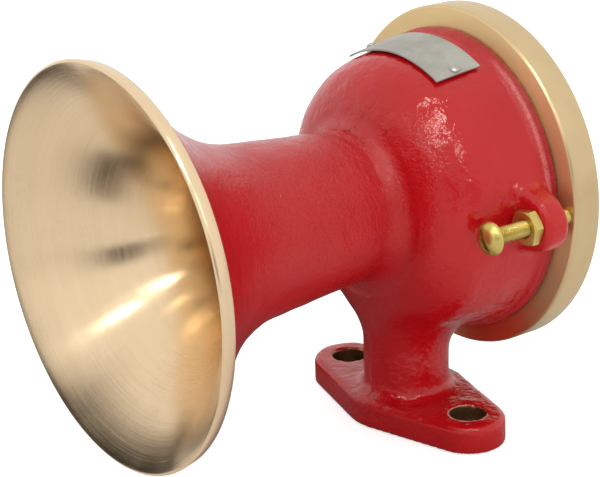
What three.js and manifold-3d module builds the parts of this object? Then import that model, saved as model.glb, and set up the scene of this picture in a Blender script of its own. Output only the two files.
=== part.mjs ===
// Compressed-air diaphragm horn: a cast body on a two-bolt foot, a screwed back cap and its lock screw.
// Units are millimetres, +Z is up, the bell opens towards -Y and the lock screw is on the +X side.
// The origin is at the centre of the foot's underside. A station is the distance behind the bell's rim.

import * as THREE from 'three';
import { mergeVertices } from 'three/addons/utils/BufferGeometryUtils.js';
import Module from 'manifold-3d';

const wasm = await Module();
wasm.setup();

// ---- driving dimensions ----
const AXIS_HEIGHT = 71.3; // horn axis above the foot's underside
const STEM_STATION = 104; // stem's axis behind the bell's rim
const GAP = 0.3; // clearance between neighbouring pieces
const SKIN = 0.15; // clearance inside the clamped stack
const OVERCUT = 1; // how far a cut runs past the face it opens

// Bell and throat tube. Both surfaces are a taper plus a parabola that starts at FLARE_START.
const BELL_RADIUS = 57.15;
const BELL_BAND = 4;
const BELL_BAND_DROP = 0.8;
const BELL_LIP = 1.2;
const FLARE_START = 46;
const TUBE_END = 70;
const TUBE_OUTER = 23.1;
const TUBE_INNER = 17.9;
const TUBE_OUTER_TAPER = 0.095;
const TUBE_INNER_TAPER = 0.1;
const FLARE_OUTER = 0.015;
const FLARE_INNER = 0.0147;
const THROAT_STATION = 99;
const THROAT_RADIUS = 9.4;

// Bowl. Its shoulder is an arc, joined to the tube by a fillet and to the lip by a cone.
const SHOULDER_STATION = 103.6;
const SHOULDER_CENTRE = 23.9;
const SHOULDER_RADIUS = 18;
const BOWL_SLOPE = 9;
const TUBE_FILLET = 6;
const FILLET_STATION = 80; // where the tube's outside runs into the fillet
const CONE_END = 117.5;
const LIP_STATION = 122.6;
const LIP_RADIUS = 46;
const LIP_ROUND = 0.6;
const CHAMBER_RADIUS = 31;
const CHAMBER_FRONT = 91;
const CHAMBER_ROUND = 7;
const NOZZLE_WALL_RADIUS = 15;
const LEDGE_STATION = 108;
const THREAD_RADIUS = 38.1;
const MOUTH_CHAMFER = 1.6;

// Stem, air port and foot
const STEM_RADIUS = 13.1;
const STEM_FOOT_FILLET = 3;
const PORT_RADIUS = 8.55;
const PORT_TAPER = 0.45;
const PORT_DEPTH = 14;
const STRAINER_RADIUS = 7.3;
const STRAINER_SEAT = 17.5;
const STRAINER_THICKNESS = 0.8;
const STRAINER_HOLE_RADIUS = 0.65;
const STRAINER_RINGS = [{ radius: 0, count: 1 }, { radius: 2.1, count: 6 }, { radius: 4.3, count: 12 }];
const RING_BORE = 5.9;
const RING_THICKNESS = 1;
const RING_GAP = 3;
const PASSAGE_RADIUS = 5.8;
const PASSAGE_TOP = AXIS_HEIGHT - CHAMBER_RADIUS + 4;
const FOOT_THICKNESS = 8.5;
const FOOT_EDGE = 1.6;
const FOOT_MID_RADIUS = 18.8;
const FOOT_END_RADIUS = 11.2;
const BOLT_OFFSET = 28.575;
const BOLT_HOLE_RADIUS = 5.55;

// Ear and lock screw
const SCREW_OFFSET = 49;
const EAR_OFFSET = 47.8;
const EAR_RADIUS = 8.2;
const EAR_EDGE = 1.2;
const EAR_ROOT = 36; // where the ear starts inside the bowl's wall
const EAR_SPREAD = 4; // how much taller its upper side is there
const EAR_FRONT = 109.7;
const EAR_BACK = 118.2;
const SCREW_RADIUS = 2.415;
const SCREW_HEAD_RADIUS = 4.85;
const SCREW_HEAD_HEIGHT = 3.4;
const SCREW_HEAD_RIM = 0.5;
const SCREW_UNDER_HEAD = 94.8;
const SLOT_WIDTH = 1.2;
const SLOT_DEPTH = 1.7;
const SLOT_ANGLE = 29;
const PAD_LENGTH = 4.2;
const PAD_RADIUS = 2.315;
const PAD_EDGE = 0.6;
const NUT_FLATS = 9.53;
const NUT_THICKNESS = 3.18;
const NUT_TURN = -10;
const NUT_CHAMFER = 0.8;
const NUT_CLEARANCE = 0.1;

// Back cap and the clamped stack
const CAP_RADIUS = 52.1;
const CAP_EDGE = 0.8;
const CAP_FRONT = 123.3;
const CAP_BACK = 133.4;
const CAP_HOLLOW = 31;
const CAP_HOLLOW_DEPTH = 7;
const CAP_RECESS_RADIUS = 24;
const CAP_RECESS_DEPTH = 1;
const SPANNER_OFFSET = 34;
const SPANNER_RADIUS = 3.2;
const SPANNER_DEPTH = 5;
const SEAL_SECTION = 2;
const GASKET_THICKNESS = 0.8;
const DIAPHRAGM_RADIUS = 36.6;
const DIAPHRAGM_THICKNESS = 0.6;
const CLAMP_THICKNESS = 3;
const NOZZLE_BORE = 8.8;
const NOZZLE_RADIUS = 12.3;
const NOZZLE_EDGE = 0.7;

// Nameplate, a patch of a shallow cone over the bowl's top
const PLATE_FRONT = 99.8;
const PLATE_BACK = 115;
const PLATE_HALF_ANGLE = 28;
const PLATE_FRONT_RADIUS = 42.3;
const PLATE_BACK_RADIUS = 44.7;
const PLATE_THICKNESS = 0.6;
const PIN_ANGLE = 25.5;
const PIN_HEAD_RADIUS = 1.5;
const PIN_HEAD_HEIGHT = 0.8;
const PIN_SHANK_RADIUS = 0.9;
const PIN_LENGTH = 4;

const RED_ENAMEL = { color: 0xb81c28, roughness: 0.32, metalness: 0 };
const BRONZE = { color: 0xcdb283, roughness: 0.35, metalness: 1 };
const BRASS = { color: 0xb9a54b, roughness: 0.35, metalness: 1 };
const GREY_PLATE = { color: 0xb4b1a8, roughness: 0.6, metalness: 0.6 };
const SPRING_BRONZE = { color: 0xb98f4e, roughness: 0.3, metalness: 1 };
const STEEL = { color: 0x9a9c9e, roughness: 0.4, metalness: 1 };
const FIBRE = { color: 0x4c4a44, roughness: 0.9, metalness: 0 };
const RUBBER = { color: 0x161616, roughness: 0.8, metalness: 0 };

const rad = THREE.MathUtils.degToRad;
const V = (x, y) => new THREE.Vector2(x, y);

// ---- solids ----

// A closed geometry as a solid that can be joined and cut, without seams or triangles of no area
function solid(geometry, matrix = new THREE.Matrix4()) {
  const bare = geometry.clone().applyMatrix4(matrix);
  bare.deleteAttribute('normal');
  bare.deleteAttribute('uv');
  const merged = mergeVertices(bare, 1e-4);
  const index = merged.index.array;
  const kept = [];
  for (let i = 0; i < index.length; i += 3) {
    const [a, b, c] = index.slice(i, i + 3);
    if (a !== b && b !== c && c !== a) kept.push(a, b, c);
  }
  const vertProperties = new Float32Array(merged.attributes.position.array);
  return new wasm.Manifold(new wasm.Mesh({ numProp: 3, vertProperties, triVerts: new Uint32Array(kept) }));
}

function geometryOf(manifold) {
  const mesh = manifold.getMesh();
  const geometry = new THREE.BufferGeometry();
  geometry.setAttribute('position', new THREE.BufferAttribute(new Float32Array(mesh.vertProperties), 3));
  geometry.setIndex(new THREE.BufferAttribute(new Uint32Array(mesh.triVerts), 1));
  return geometry;
}

function signedArea(points) {
  return points.reduce((sum, p, i) => {
    const next = points[(i + 1) % points.length];
    return sum + (p.x * next.y - next.x * p.y) / 2;
  }, 0);
}

// Turns an outline of (radius, height) points about the Y axis. The outline closes on itself or on the axis.
function turned(outline, segments) {
  const points = signedArea(outline) > 0 ? [...outline] : [...outline].reverse();
  const onAxis = outline.some((p) => p.x === 0);
  if (onAxis) {
    while (points[0].x !== 0 || points[points.length - 1].x !== 0) points.push(points.shift());
  } else {
    points.push(points[0].clone());
  }
  return solid(new THREE.LatheGeometry(points, segments));
}

const HORN_AXIS = new THREE.Matrix4().makeTranslation(0, -STEM_STATION, AXIS_HEIGHT);
const SCREW_AXIS = new THREE.Matrix4().makeTranslation(SCREW_OFFSET, -STEM_STATION, AXIS_HEIGHT);
const UPRIGHT = new THREE.Matrix4().makeRotationX(Math.PI / 2);

const placed = (manifold, matrix) => manifold.transform(matrix.elements);

// Pieces turned about the horn's axis take outlines of (radius, station) points.
const onHorn = (outline, segments = 56) => placed(turned(outline, segments), HORN_AXIS);
const onScrew = (outline, segments = 24) => placed(turned(outline, segments), SCREW_AXIS);
// Pieces turned about the stem's axis take outlines of (radius, height above the foot's underside).
const onStem = (outline, segments = 32) => placed(turned(outline, segments), UPRIGHT);

// A block with four edges at the given radii and heights
const tube = (inner, outer, low, high) => [V(inner, low), V(outer, low), V(outer, high), V(inner, high)];
const rod = (outer, low, high) => tube(0, outer, low, high);

function arc(centre, radius, fromDegrees, toDegrees, steps) {
  return Array.from({ length: steps + 1 }, (_, i) => {
    const angle = rad(fromDegrees + ((toDegrees - fromDegrees) * i) / steps);
    return V(centre.x + radius * Math.cos(angle), centre.y + radius * Math.sin(angle));
  });
}

// ---- bell, tube and bowl ----

const flare = (station) => Math.max(0, FLARE_START - station) ** 2;

function outerRadius(station) {
  return TUBE_OUTER + TUBE_OUTER_TAPER * (TUBE_END - station) + FLARE_OUTER * flare(station);
}

function innerRadius(station) {
  return TUBE_INNER + TUBE_INNER_TAPER * (TUBE_END - station) + FLARE_INNER * flare(station);
}

const along = (stations, radius) => stations.map((station) => V(radius(station), station));

// The bowl's front, from the tube's fillet round the shoulder to the start of the cone
function shoulder() {
  const filletCentre = V(outerRadius(FILLET_STATION) + TUBE_FILLET, 0);
  const rise = filletCentre.x - SHOULDER_CENTRE;
  const reach = SHOULDER_RADIUS + TUBE_FILLET;
  filletCentre.y = SHOULDER_STATION - Math.sqrt(reach ** 2 - rise ** 2);
  const tangent = THREE.MathUtils.radToDeg(Math.asin(rise / reach));
  return [
    ...arc(filletCentre, TUBE_FILLET, 180, 90 - tangent, 3),
    ...arc(V(SHOULDER_CENTRE, SHOULDER_STATION), SHOULDER_RADIUS, -90 + tangent, -BOWL_SLOPE, 6).slice(1),
  ];
}

function hornOutside() {
  const front = shoulder();
  const coneStart = front[front.length - 1];
  const coneEnd = V(coneStart.x + (CONE_END - coneStart.y) * Math.tan(rad(BOWL_SLOPE)), CONE_END);
  return [
    V(0, 0),
    V(BELL_RADIUS, 0),
    V(BELL_RADIUS - BELL_BAND_DROP, BELL_BAND),
    ...along([9, 15, 21, 28, 36, 46, 70], outerRadius),
    ...front,
    coneEnd,
    V(LIP_RADIUS - LIP_ROUND, LIP_STATION - 5 * LIP_ROUND),
    V(LIP_RADIUS, LIP_STATION - 2 * LIP_ROUND),
    V(LIP_RADIUS - LIP_ROUND, LIP_STATION),
    V(0, LIP_STATION),
  ];
}

// The air's way out: the bell's inside, the throat and the nozzle's seat
function hornPassage() {
  return [
    V(0, -OVERCUT),
    V(BELL_RADIUS - BELL_LIP + OVERCUT, -OVERCUT),
    V(BELL_RADIUS - BELL_LIP, 0),
    ...along([5, 10, 16, 22, 29, 37, 46, 70], innerRadius),
    V(THROAT_RADIUS, THROAT_STATION),
    V(NOZZLE_RADIUS + GAP, THROAT_STATION),
    V(NOZZLE_RADIUS + GAP, LEDGE_STATION),
    V(THREAD_RADIUS, LEDGE_STATION),
    V(THREAD_RADIUS, LIP_STATION - MOUTH_CHAMFER),
    V(THREAD_RADIUS + MOUTH_CHAMFER + OVERCUT, LIP_STATION + OVERCUT),
    V(0, LIP_STATION + OVERCUT),
  ];
}

// The ring of air round the nozzle, behind the bowl's front wall
const airChamber = () => [
  V(NOZZLE_WALL_RADIUS, LEDGE_STATION + OVERCUT),
  V(NOZZLE_WALL_RADIUS, CHAMBER_FRONT + CHAMBER_ROUND / 4),
  V(NOZZLE_WALL_RADIUS + CHAMBER_ROUND / 4, CHAMBER_FRONT),
  ...arc(V(CHAMBER_RADIUS - CHAMBER_ROUND, CHAMBER_FRONT + CHAMBER_ROUND), CHAMBER_ROUND, -90, 0, 3),
  V(CHAMBER_RADIUS, LEDGE_STATION + OVERCUT),
];

// ---- stem and foot ----

// A foot outline: two end circles and a middle circle, joined by their tangents and drawn in by inset
function footOutline(inset) {
  const end = FOOT_END_RADIUS - inset;
  const middle = FOOT_MID_RADIUS - inset;
  const tangent = Math.acos((middle - end) / BOLT_OFFSET);
  const shape = new THREE.Shape();
  shape.absarc(BOLT_OFFSET, 0, end, -tangent, tangent, false);
  shape.absarc(0, 0, middle, tangent, Math.PI - tangent, false);
  shape.absarc(-BOLT_OFFSET, 0, end, Math.PI - tangent, Math.PI + tangent, false);
  shape.absarc(0, 0, middle, Math.PI + tangent, 2 * Math.PI - tangent, false);
  return shape;
}

function foot() {
  const bevelled = new THREE.ExtrudeGeometry(footOutline(FOOT_EDGE), {
    depth: FOOT_THICKNESS,
    bevelThickness: FOOT_EDGE,
    bevelSize: FOOT_EDGE,
    bevelSegments: 2,
    curveSegments: 9,
  });
  const block = solid(bevelled, new THREE.Matrix4().makeTranslation(0, 0, -FOOT_EDGE));
  return block.trimByPlane([0, 0, 1], 0);
}

function stem() {
  const top = AXIS_HEIGHT - CHAMBER_RADIUS - CHAMBER_ROUND / 2;
  const base = FOOT_THICKNESS / 2;
  const filletCentre = V(STEM_RADIUS + STEM_FOOT_FILLET, FOOT_THICKNESS + STEM_FOOT_FILLET);
  return onStem([
    V(0, base),
    V(filletCentre.x, base),
    ...arc(filletCentre, STEM_FOOT_FILLET, 270, 180, 3),
    V(STEM_RADIUS, top),
    V(0, top),
  ]);
}

const portInside = () => [
  V(0, -OVERCUT),
  V(PORT_RADIUS, -OVERCUT),
  V(PORT_RADIUS, 0),
  V(PORT_RADIUS - PORT_TAPER, PORT_DEPTH),
  V(STRAINER_RADIUS + GAP, PORT_DEPTH),
  V(STRAINER_RADIUS + GAP, STRAINER_SEAT),
  V(PASSAGE_RADIUS, STRAINER_SEAT),
  V(PASSAGE_RADIUS, PASSAGE_TOP),
  V(0, PASSAGE_TOP),
];

// ---- ear ----

function ear() {
  const shape = new THREE.Shape();
  const inner = EAR_RADIUS - EAR_EDGE;
  shape.moveTo(EAR_ROOT, -inner - EAR_SPREAD / 2);
  shape.absarc(EAR_OFFSET, 0, inner, -Math.PI / 2, Math.PI / 2, false);
  shape.lineTo(EAR_ROOT, inner + EAR_SPREAD);
  const block = new THREE.ExtrudeGeometry(shape, {
    depth: EAR_BACK - EAR_FRONT - 2 * EAR_EDGE,
    bevelThickness: EAR_EDGE,
    bevelSize: EAR_EDGE,
    bevelSegments: 2,
    curveSegments: 9,
  });
  const back = EAR_BACK - EAR_EDGE - STEM_STATION;
  const place = new THREE.Matrix4().makeTranslation(0, back, AXIS_HEIGHT).multiply(UPRIGHT);
  return solid(block, place);
}

function hornBody() {
  const outside = onHorn(hornOutside()).add(stem()).add(foot()).add(ear());
  const boltHole = placed(turned(rod(BOLT_HOLE_RADIUS, -OVERCUT, FOOT_THICKNESS + OVERCUT), 24), UPRIGHT);
  const cuts = [
    onHorn(hornPassage()),
    onHorn(airChamber(), 40),
    onStem(portInside(), 24),
    onScrew(rod(SCREW_RADIUS + GAP, EAR_FRONT - OVERCUT, EAR_BACK + OVERCUT)),
    placed(boltHole, new THREE.Matrix4().makeTranslation(BOLT_OFFSET, 0, 0)),
    placed(boltHole, new THREE.Matrix4().makeTranslation(-BOLT_OFFSET, 0, 0)),
    ...[-PIN_ANGLE, PIN_ANGLE].map((angle) => drivePin(angle, GAP)),
  ];
  return cuts.reduce((body, cut) => body.subtract(cut), outside);
}

// ---- back cap and the clamped stack ----

const FRONT_GASKET = LEDGE_STATION + SKIN;
const DIAPHRAGM = FRONT_GASKET + GASKET_THICKNESS + SKIN;
const REAR_GASKET = DIAPHRAGM + DIAPHRAGM_THICKNESS + SKIN;
const CLAMP = REAR_GASKET + GASKET_THICKNESS + SKIN;
const BOSS = CLAMP + CLAMP_THICKNESS + SKIN;
const BOSS_RADIUS = THREAD_RADIUS - GAP;

function backCap() {
  const groove = BOSS_RADIUS - SEAL_SECTION / 2;
  const body = onHorn([
    V(0, BOSS + CAP_HOLLOW_DEPTH),
    V(CAP_HOLLOW - 2 * CAP_EDGE, BOSS + CAP_HOLLOW_DEPTH),
    V(CAP_HOLLOW, BOSS + CAP_HOLLOW_DEPTH - 2 * CAP_EDGE),
    V(CAP_HOLLOW, BOSS),
    V(BOSS_RADIUS - CAP_EDGE, BOSS),
    V(BOSS_RADIUS, BOSS + CAP_EDGE),
    V(BOSS_RADIUS, CAP_FRONT - SEAL_SECTION - GAP),
    V(groove, CAP_FRONT - SEAL_SECTION - GAP),
    V(groove, CAP_FRONT),
    V(CAP_RADIUS - CAP_EDGE, CAP_FRONT),
    V(CAP_RADIUS, CAP_FRONT + CAP_EDGE),
    V(CAP_RADIUS, CAP_BACK - CAP_EDGE),
    V(CAP_RADIUS - CAP_EDGE, CAP_BACK),
    V(CAP_RECESS_RADIUS, CAP_BACK),
    V(CAP_RECESS_RADIUS - CAP_RECESS_DEPTH, CAP_BACK - CAP_RECESS_DEPTH),
    V(0, CAP_BACK - CAP_RECESS_DEPTH),
  ]);
  const hole = onHorn(rod(SPANNER_RADIUS, CAP_BACK - SPANNER_DEPTH, CAP_BACK + OVERCUT), 16);
  const shift = (side) => new THREE.Matrix4().makeTranslation(side * SPANNER_OFFSET, 0, 0);
  return [-1, 1].reduce((cap, side) => cap.subtract(placed(hole, shift(side))), body);
}

function capSeal() {
  const inner = BOSS_RADIUS - SEAL_SECTION / 2 + SKIN;
  const back = CAP_FRONT - SKIN;
  const front = back - SEAL_SECTION;
  return onHorn([
    V(inner, front),
    V(inner + SEAL_SECTION / 2, front),
    V(inner + SEAL_SECTION, front + SEAL_SECTION / 2),
    V(inner + SEAL_SECTION, back),
    V(inner, back),
  ], 48);
}

function flatRing(station, thickness) {
  return onHorn(tube(CHAMBER_RADIUS, DIAPHRAGM_RADIUS, station, station + thickness), 48);
}

function diaphragm() {
  return onHorn(rod(DIAPHRAGM_RADIUS, DIAPHRAGM, DIAPHRAGM + DIAPHRAGM_THICKNESS), 48);
}

function throatNozzle() {
  const front = THROAT_STATION + GAP;
  const back = DIAPHRAGM - SKIN;
  return onHorn([
    V(NOZZLE_BORE, front),
    V(NOZZLE_RADIUS, front),
    V(NOZZLE_RADIUS, back - 2 * NOZZLE_EDGE),
    V(NOZZLE_RADIUS - 2 * NOZZLE_EDGE, back),
    V(NOZZLE_BORE + NOZZLE_EDGE, back),
    V(NOZZLE_BORE, back - NOZZLE_EDGE),
  ], 32);
}

function strainer() {
  const top = STRAINER_SEAT - GAP;
  const plate = onStem(rod(STRAINER_RADIUS, top - STRAINER_THICKNESS, top), 24);
  const hole = onStem(rod(STRAINER_HOLE_RADIUS, PORT_DEPTH, STRAINER_SEAT + OVERCUT), 6);
  const holes = STRAINER_RINGS.flatMap(({ radius, count }) =>
    Array.from({ length: count }, (_, i) => {
      const angle = (2 * Math.PI * i) / count;
      const spot = new THREE.Matrix4().makeTranslation(radius * Math.cos(angle), radius * Math.sin(angle), 0);
      return placed(hole, spot);
    }));
  return holes.reduce((disc, cut) => disc.subtract(cut), plate);
}

function strainerRing() {
  const top = STRAINER_SEAT - 2 * GAP - STRAINER_THICKNESS;
  const ring = onStem(tube(RING_BORE, STRAINER_RADIUS, top - RING_THICKNESS, top), 24);
  const front = new THREE.Matrix4().makeTranslation(0, -STRAINER_RADIUS, top);
  return ring.subtract(solid(new THREE.BoxGeometry(RING_GAP, RING_GAP + 1, RING_GAP + 1), front));
}

// ---- lock screw, pad and nut ----

const PAD_FRONT = CAP_FRONT - SKIN - PAD_LENGTH;

function lockScrew() {
  const crown = SCREW_UNDER_HEAD - SCREW_HEAD_HEIGHT;
  const body = onScrew([
    V(0, crown),
    ...[70, 48, 28, 10].map((turn) => V(
      SCREW_HEAD_RADIUS * Math.cos(rad(turn)),
      SCREW_UNDER_HEAD - SCREW_HEAD_RIM - (SCREW_HEAD_HEIGHT - SCREW_HEAD_RIM) * Math.sin(rad(turn)),
    )),
    V(SCREW_HEAD_RADIUS, SCREW_UNDER_HEAD - SCREW_HEAD_RIM),
    V(SCREW_HEAD_RADIUS, SCREW_UNDER_HEAD),
    V(SCREW_RADIUS, SCREW_UNDER_HEAD),
    V(SCREW_RADIUS, PAD_FRONT - SKIN),
    V(0, PAD_FRONT - SKIN),
  ], 28);
  const middle = new THREE.Matrix4().makeTranslation(SCREW_OFFSET, crown - STEM_STATION, AXIS_HEIGHT);
  const turn = new THREE.Matrix4().makeRotationY(rad(-SLOT_ANGLE));
  const slot = new THREE.BoxGeometry(SLOT_WIDTH, 2 * SLOT_DEPTH, 4 * SCREW_HEAD_RADIUS);
  return body.subtract(solid(slot, middle.multiply(turn)));
}

function lockScrewPad() {
  const back = PAD_FRONT + PAD_LENGTH;
  return onScrew([
    V(0, PAD_FRONT),
    V(PAD_RADIUS, PAD_FRONT),
    V(PAD_RADIUS, back - PAD_EDGE),
    V(PAD_RADIUS - PAD_EDGE, back),
    V(0, back),
  ]);
}

function lockNut() {
  const corner = NUT_FLATS / Math.sqrt(3);
  const back = EAR_FRONT - SKIN;
  const front = back - NUT_THICKNESS;
  const hexagon = new THREE.Shape(arc(V(0, 0), corner, 0, 300, 5));
  const prism = new THREE.ExtrudeGeometry(hexagon, { depth: NUT_THICKNESS, bevelEnabled: false });
  const place = SCREW_AXIS.clone()
    .multiply(new THREE.Matrix4().makeTranslation(0, back, 0))
    .multiply(new THREE.Matrix4().makeRotationY(rad(NUT_TURN)))
    .multiply(UPRIGHT);
  const chamfer = onScrew([
    V(0, front),
    V(corner - NUT_CHAMFER, front),
    V(corner, front + NUT_CHAMFER * Math.tan(rad(30))),
    V(corner + OVERCUT, back + OVERCUT),
    V(0, back + OVERCUT),
  ], 36);
  const bore = onScrew(rod(SCREW_RADIUS + NUT_CLEARANCE, front - OVERCUT, back + OVERCUT));
  return solid(prism, place).intersect(chamfer).subtract(bore);
}

// ---- nameplate and its pins ----

const plateRadius = (station) => {
  const share = (station - PLATE_FRONT) / (PLATE_BACK - PLATE_FRONT);
  return PLATE_FRONT_RADIUS + share * (PLATE_BACK_RADIUS - PLATE_FRONT_RADIUS);
};

// A pin square to the plate, at an angle from the top towards +X. Extra clearance makes the hole for it.
function drivePin(angle, clearance) {
  const station = (PLATE_FRONT + PLATE_BACK) / 2;
  const slope = Math.atan((PLATE_BACK_RADIUS - PLATE_FRONT_RADIUS) / (PLATE_BACK - PLATE_FRONT));
  const outline = clearance > 0
    ? rod(PIN_SHANK_RADIUS + clearance, -PIN_LENGTH - clearance, PIN_LENGTH)
    : [
      V(0, -PIN_LENGTH),
      V(PIN_SHANK_RADIUS, -PIN_LENGTH),
      V(PIN_SHANK_RADIUS, 0),
      V(PIN_HEAD_RADIUS, 0),
      ...[30, 60].map((turn) => V(
        PIN_HEAD_RADIUS * Math.cos(rad(turn)),
        PIN_HEAD_HEIGHT * Math.sin(rad(turn)),
      )),
      V(0, PIN_HEAD_HEIGHT),
    ];
  const place = new THREE.Matrix4()
    .makeTranslation(0, station - STEM_STATION, AXIS_HEIGHT)
    .multiply(new THREE.Matrix4().makeRotationY(rad(angle)))
    .multiply(new THREE.Matrix4().makeTranslation(0, 0, plateRadius(station) + PLATE_THICKNESS + SKIN))
    .multiply(new THREE.Matrix4().makeRotationX(slope))
    .multiply(UPRIGHT);
  return placed(turned(outline, 12), place);
}

function nameplate() {
  const skin = onHorn([
    V(plateRadius(PLATE_FRONT), PLATE_FRONT),
    V(plateRadius(PLATE_FRONT) + PLATE_THICKNESS, PLATE_FRONT),
    V(plateRadius(PLATE_BACK) + PLATE_THICKNESS, PLATE_BACK),
    V(plateRadius(PLATE_BACK), PLATE_BACK),
  ], 72);
  const reach = 1.5 * PLATE_BACK_RADIUS;
  const depth = 2 * (PLATE_BACK - PLATE_FRONT);
  const wedge = new THREE.Shape([
    V(0, 0),
    V(reach * Math.sin(rad(PLATE_HALF_ANGLE)), reach * Math.cos(rad(PLATE_HALF_ANGLE))),
    V(-reach * Math.sin(rad(PLATE_HALF_ANGLE)), reach * Math.cos(rad(PLATE_HALF_ANGLE))),
  ]);
  const cutter = new THREE.ExtrudeGeometry(wedge, { depth, bevelEnabled: false });
  const back = PLATE_FRONT - STEM_STATION + depth;
  const place = new THREE.Matrix4().makeTranslation(0, back - OVERCUT, AXIS_HEIGHT).multiply(UPRIGHT);
  return [-PIN_ANGLE, PIN_ANGLE].reduce(
    (plate, angle) => plate.subtract(drivePin(angle, GAP)),
    skin.intersect(solid(cutter, place)),
  );
}

// ---- assembly ----

const horn = new THREE.Group();

function addPiece(name, manifold, look) {
  const mesh = new THREE.Mesh(geometryOf(manifold), new THREE.MeshStandardMaterial(look));
  mesh.name = name;
  horn.add(mesh);
}

addPiece('horn_body', hornBody(), RED_ENAMEL);
addPiece('back_cap', backCap(), BRONZE);
addPiece('cap_seal', capSeal(), RUBBER);
addPiece('front_gasket', flatRing(FRONT_GASKET, GASKET_THICKNESS), FIBRE);
addPiece('diaphragm', diaphragm(), SPRING_BRONZE);
addPiece('rear_gasket', flatRing(REAR_GASKET, GASKET_THICKNESS), FIBRE);
addPiece('clamp_ring', flatRing(CLAMP, CLAMP_THICKNESS), BRONZE);
addPiece('throat_nozzle', throatNozzle(), BRASS);
addPiece('inlet_strainer', strainer(), STEEL);
addPiece('strainer_ring', strainerRing(), STEEL);
addPiece('lock_screw', lockScrew(), BRASS);
addPiece('lock_screw_pad', lockScrewPad(), BRASS);
addPiece('lock_nut', lockNut(), BRASS);
addPiece('nameplate', nameplate(), GREY_PLATE);
addPiece('plate_pin_left', drivePin(-PIN_ANGLE, 0), STEEL);
addPiece('plate_pin_right', drivePin(PIN_ANGLE, 0), STEEL);

export default horn;
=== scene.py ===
"""Looks of the diaphragm air horn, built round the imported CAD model.

Lengths are in millimetres until a mesh is made. A station is the distance behind the bell's rim,
as in the CAD.
"""

import math

import bpy
import numpy as np
from mathutils import Matrix, Vector


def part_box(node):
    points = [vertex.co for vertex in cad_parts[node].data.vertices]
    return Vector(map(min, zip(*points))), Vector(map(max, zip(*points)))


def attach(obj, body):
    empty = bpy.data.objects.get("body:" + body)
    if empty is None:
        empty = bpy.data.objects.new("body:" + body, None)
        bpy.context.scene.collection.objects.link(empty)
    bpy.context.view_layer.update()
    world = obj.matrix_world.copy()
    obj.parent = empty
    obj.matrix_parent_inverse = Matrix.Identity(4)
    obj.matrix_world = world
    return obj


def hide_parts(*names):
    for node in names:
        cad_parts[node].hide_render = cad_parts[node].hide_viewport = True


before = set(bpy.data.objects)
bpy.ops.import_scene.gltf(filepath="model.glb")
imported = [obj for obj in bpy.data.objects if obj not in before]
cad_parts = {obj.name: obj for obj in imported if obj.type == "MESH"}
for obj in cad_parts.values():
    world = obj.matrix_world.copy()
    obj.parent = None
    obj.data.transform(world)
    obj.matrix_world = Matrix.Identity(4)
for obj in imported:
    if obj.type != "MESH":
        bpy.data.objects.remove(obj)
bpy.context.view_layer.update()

MM = 0.001


def box_mm(node):
    """A node's lowest and highest corners in millimetres."""
    low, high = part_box(node)
    return np.array(low) / MM, np.array(high) / MM


HORN_LOW, HORN_HIGH = box_mm("horn_body")
CAP_LOW, CAP_HIGH = box_mm("back_cap")
SCREW_LOW, SCREW_HIGH = box_mm("lock_screw")
RIM_Y = HORN_LOW[1]
AXIS_Z = (CAP_LOW[2] + CAP_HIGH[2]) / 2
SCREW_X = (SCREW_LOW[0] + SCREW_HIGH[0]) / 2


def reach(node):
    """A node's front and back stations and its highest X, which is a turned node's radius."""
    low, high = box_mm(node)
    return low[1] - RIM_Y, high[1] - RIM_Y, high[0]


CAP_BACK = CAP_HIGH[1] - RIM_Y
SCREW_END = SCREW_HIGH[1] - RIM_Y
PLATE_FRONT, PLATE_BACK, _ = reach("nameplate")
HORN_AXIS = Vector((0, RIM_Y, AXIS_Z)) * MM
SCREW_AXIS = Vector((SCREW_X, RIM_Y, AXIS_Z)) * MM
STEM_AXIS = Vector((0, 0, 0))

# An outline that fills or clears the middle starts this far past the axis, and a cut runs this far out
PAST_AXIS = -20.0
OVERRUN = 1.0

# Bell and tube
BELL_RADIUS = HORN_HIGH[0]
BELL_BAND = 4.0
BELL_BAND_DROP = 0.8
BELL_LIP = 1.2
PAINT_STEP = 0.6
PAINT_STEP_FADE = 2.2
FLARE_START = 46.0
FLARE_OUTER = 0.015
FLARE_INNER = 0.0147
TUBE_END = 70.0
TUBE_RADIUS = 23.1
TUBE_TAPER = 0.095
TUBE_BORE_RADIUS = 17.9
TUBE_BORE_TAPER = 0.1
THROAT_STATION = 99.0
THROAT_RADIUS = 9.4
LINER_WALL = 0.95
LINER_GAP = 0.05

# Bowl
CREASE_STATION = 80.0
TUBE_FILLET = 6.0
SHOULDER_STATION = 103.6
SHOULDER_CENTRE = 23.9
SHOULDER_RADIUS = 18.0
BOWL_SLOPE = 9.0
CONE_END = 118.6
BEAD_FRONT = 119.3
BEAD_HOLLOW = 0.75
BEAD_ROUND = 1.5
LIP_STATION = 123.0
LIP_RADIUS = 46.0
LIP_ROUND = 0.3
CHAMBER_RADIUS = 31.0
CHAMBER_FRONT = 91.0
CHAMBER_ROUND = 7.0
NOZZLE_WALL_RADIUS = 15.0
NOZZLE_WALL_ROUND = 1.8
NOZZLE_POCKET_RADIUS = 12.6
LEDGE_STATION = 108.0
THREAD_RADIUS = 38.1
MOUTH_CHAMFER_DEPTH = 2.0
MOUTH_CHAMFER_WIDTH = 2.6

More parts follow.
